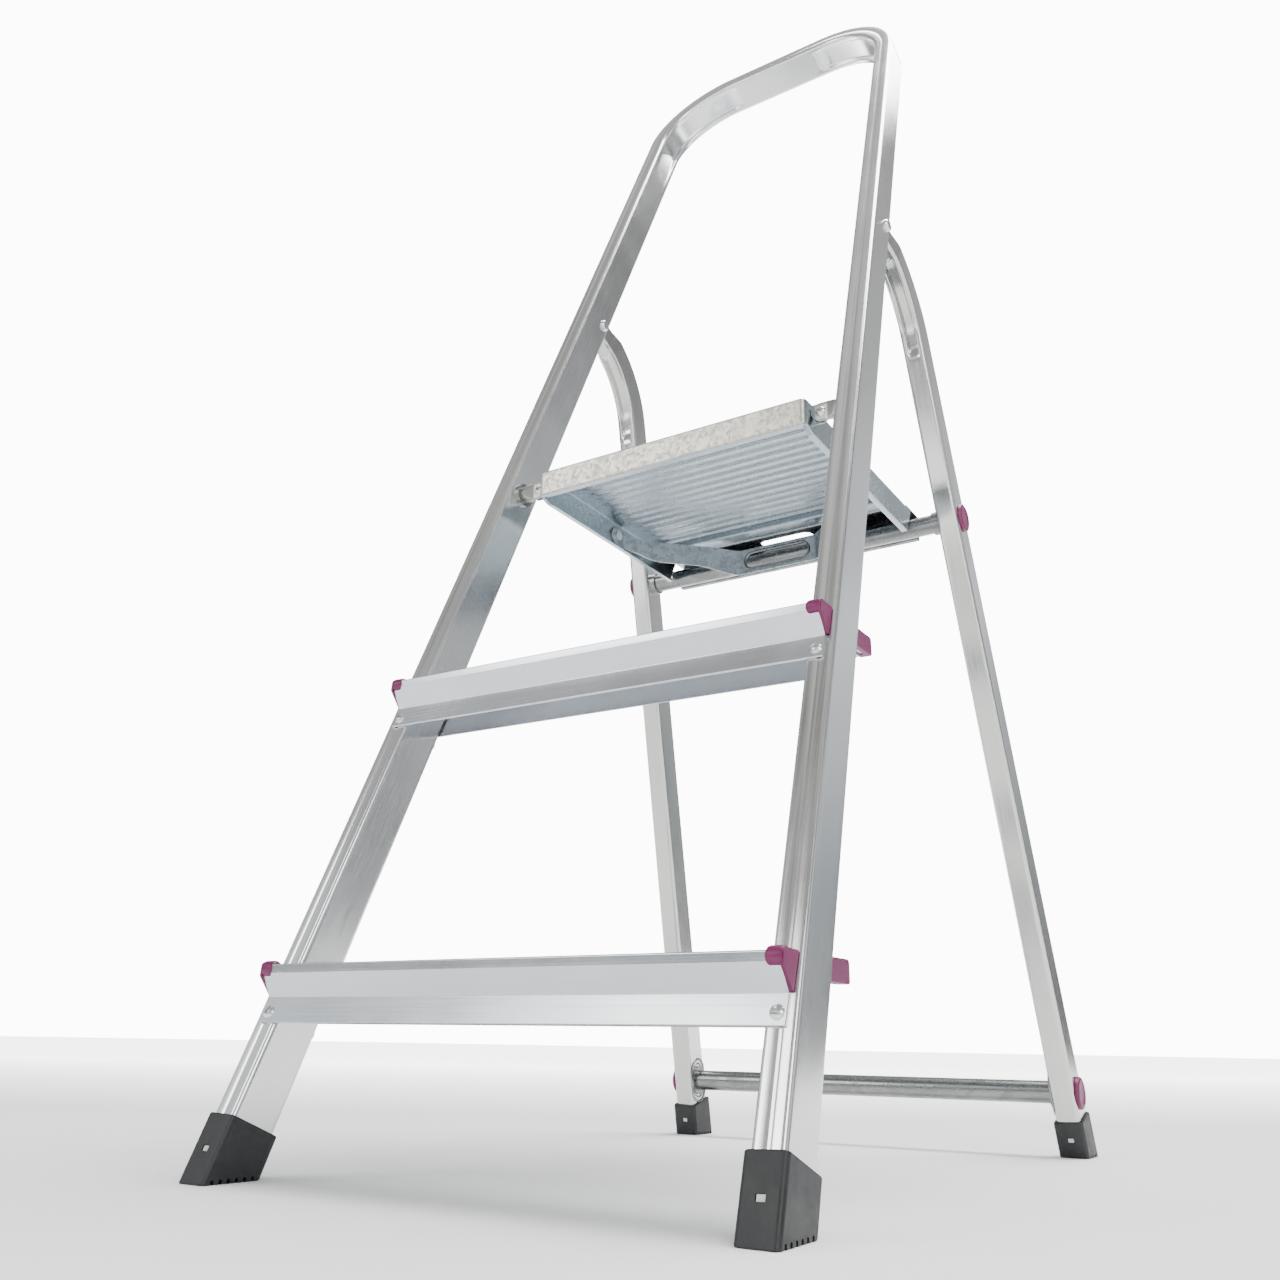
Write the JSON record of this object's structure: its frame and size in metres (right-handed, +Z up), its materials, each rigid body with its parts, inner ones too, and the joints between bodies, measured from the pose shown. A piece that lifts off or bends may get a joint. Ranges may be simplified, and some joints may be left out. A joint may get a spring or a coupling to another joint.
{
  "type": "step ladder",
  "caption": "Folding step ladder with a bent tube handrail over a small platform, wide treads, a hinged rear frame and plastic feet.",
  "frame": {"origin": "middle of the footprint, on the floor", "axes": "+X to the user's right when facing the treads, +Y from the treads towards the rear legs, +Z up"},
  "size_m": [0.445, 0.6874, 1.32],
  "materials": {
    "tube_aluminium": "mill finish, softly brushed along the tube",
    "step_aluminium": "mill finish with die lines along the step",
    "galvanised_steel": "galvanised sheet with a fine spangle",
    "steel_tube": "zinc plated, satin",
    "bright_steel": "bright plated",
    "magenta_plastic": "semi-gloss moulded plastic",
    "charcoal_plastic": "matt moulded plastic",
    "clip_plastic": "satin moulded plastic"
  },
  "bodies": {
    "front_frame": {"front_frame_tube": "tube_aluminium", "lower_step": "step_aluminium", "upper_step": "step_aluminium", "lower_step_front_cap_left": "magenta_plastic", "lower_step_front_cap_right": "magenta_plastic", "lower_step_rear_cap_left": "magenta_plastic", "lower_step_rear_cap_right": "magenta_plastic", "upper_step_front_cap_left": "magenta_plastic", "upper_step_front_cap_right": "magenta_plastic", "upper_step_rear_cap_left": "magenta_plastic", "upper_step_rear_cap_right": "magenta_plastic", "lower_step_rivets": "bright_steel", "upper_step_rivets": "bright_steel", "front_boot_left": "charcoal_plastic", "front_boot_right": "charcoal_plastic", "front_boot_clips": "clip_plastic", "hinge_rivet_left": "bright_steel", "hinge_rivet_right": "bright_steel", "pivot_collar_left": "bright_steel", "pivot_collar_right": "bright_steel"},
    "rear_frame": {"rear_leg_left": "tube_aluminium", "rear_leg_right": "tube_aluminium", "hinge_sleeve_left": "bright_steel", "hinge_sleeve_right": "bright_steel", "lower_crossbar": "steel_tube", "upper_crossbar": "steel_tube", "lower_crossbar_cap_left": "magenta_plastic", "lower_crossbar_cap_right": "magenta_plastic", "upper_crossbar_cap_left": "magenta_plastic", "upper_crossbar_cap_right": "magenta_plastic", "lower_crossbar_washers": "steel_tube", "upper_crossbar_washers": "steel_tube", "rear_boot_left": "charcoal_plastic", "rear_boot_right": "charcoal_plastic", "rear_boot_clips": "clip_plastic"},
    "platform": {"platform_deck": "galvanised_steel", "platform_pivot_left": "steel_tube", "platform_pivot_right": "steel_tube", "platform_pivot_rivets": "bright_steel", "lever_rivets": "bright_steel"},
    "catch_lever": {"catch_lever": "galvanised_steel"}
  },
  "joints": [
    {"name": "rear_fold", "type": "hinge", "parent": "front_frame", "child": "rear_frame", "pos_m": [0, 0.02808, 0.875], "axis": [-1, 0, 0], "range_deg": [0, 36]},
    {"name": "platform_fold", "type": "hinge", "parent": "front_frame", "child": "platform", "pos_m": [0, -0.08619, 0.608], "axis": [1, 0, 0], "range_deg": [0, 69]},
    {"name": "lever_lift", "type": "hinge", "parent": "platform", "child": "catch_lever", "pos_m": [0, 0.03599, 0.604], "axis": [1, 0, 0], "range_deg": [0, 2]}
  ],
  "couplings": [
    {"joint": "platform_fold", "follows": "rear_fold", "ratio": 1.9167}
  ]
}
